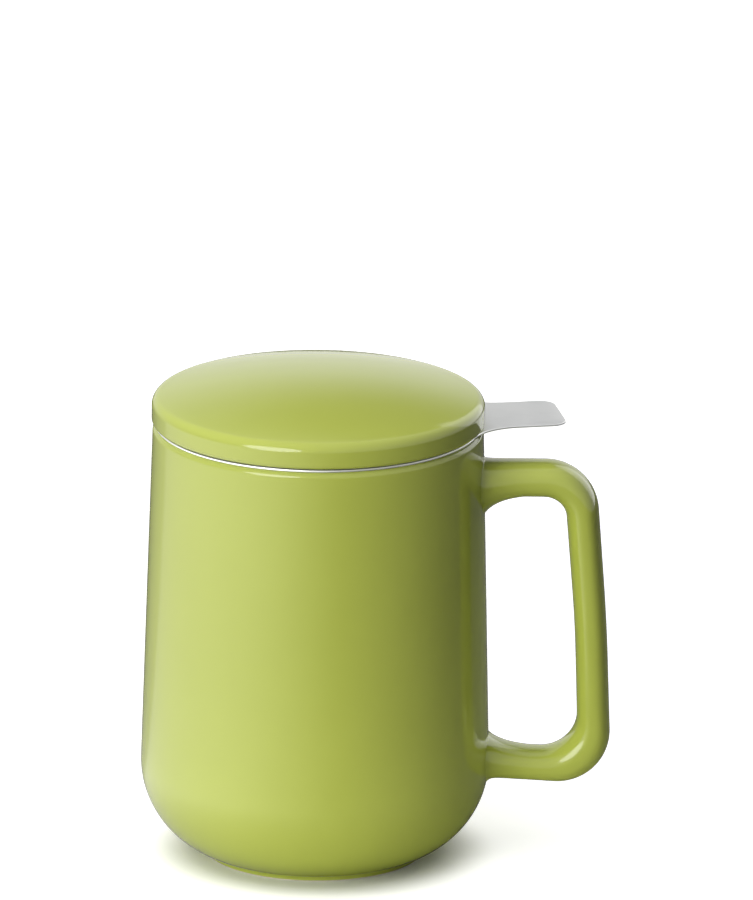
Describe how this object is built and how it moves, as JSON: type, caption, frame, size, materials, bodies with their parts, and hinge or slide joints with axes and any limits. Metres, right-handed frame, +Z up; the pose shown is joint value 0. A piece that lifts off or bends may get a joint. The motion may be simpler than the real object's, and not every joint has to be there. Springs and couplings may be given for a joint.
{
  "type": "lidded tea mug with infuser",
  "caption": "Tall glazed ceramic tea mug with a D handle, a lift-out steel infuser basket with a flat tab, and a domed ceramic lid resting on the infuser's flange.",
  "frame": {"origin": "on the mug's axis, in the plane of its foot ring", "axes": "+Z up along the mug's axis, +X towards the handle"},
  "size_m": [0.1238, 0.092, 0.13],
  "materials": {
    "glaze": "gloss lime-green glaze over white stoneware",
    "lid_glaze": "gloss lime-green glaze over white stoneware",
    "steel": "pressed stainless steel, polished to a soft gloss",
    "mesh": "perforated stainless steel sheet, satin"
  },
  "bodies": {
    "mug": {"mug_body": "glaze", "mug_handle": "glaze"},
    "infuser": {"infuser_collar": "steel", "basket_wall": "mesh", "basket_floor": "mesh"},
    "lid": {"lid": "lid_glaze"}
  },
  "joints": [
    {"name": "infuser_lift", "type": "slide", "parent": "mug", "child": "infuser", "axis": [0, 0, 1], "range_m": [0, 0.065]},
    {"name": "lid_lift", "type": "slide", "parent": "infuser", "child": "lid", "axis": [0, 0, 1], "range_m": [0, 0.03]}
  ]
}
